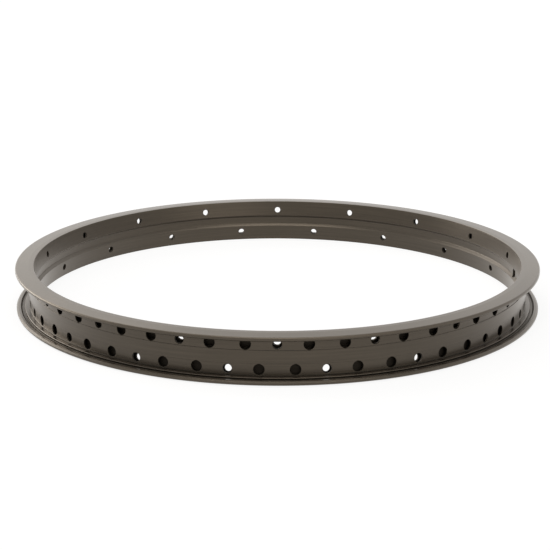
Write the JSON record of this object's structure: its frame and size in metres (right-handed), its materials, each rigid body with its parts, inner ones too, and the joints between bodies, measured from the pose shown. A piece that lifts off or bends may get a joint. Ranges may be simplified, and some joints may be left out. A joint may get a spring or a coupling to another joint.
{
  "type": "bicycle rim",
  "caption": "Double-wall bicycle rim with hooked flanges, staggered spoke holes, access and lightening holes in the tyre well, and a grooved hub side.",
  "frame": {"origin": "centre of the rim, on its mid-plane", "axes": "+Z along the wheel's axis, up while the rim lies flat; -Y is the front, through a spoke hole of the upper row; the valve hole is near +X"},
  "size_m": [0.419, 0.419, 0.0358],
  "materials": {
    "rim": "satin dark anodised"
  },
  "bodies": {
    "root": {"rim": "rim"}
  },
  "joints": []
}
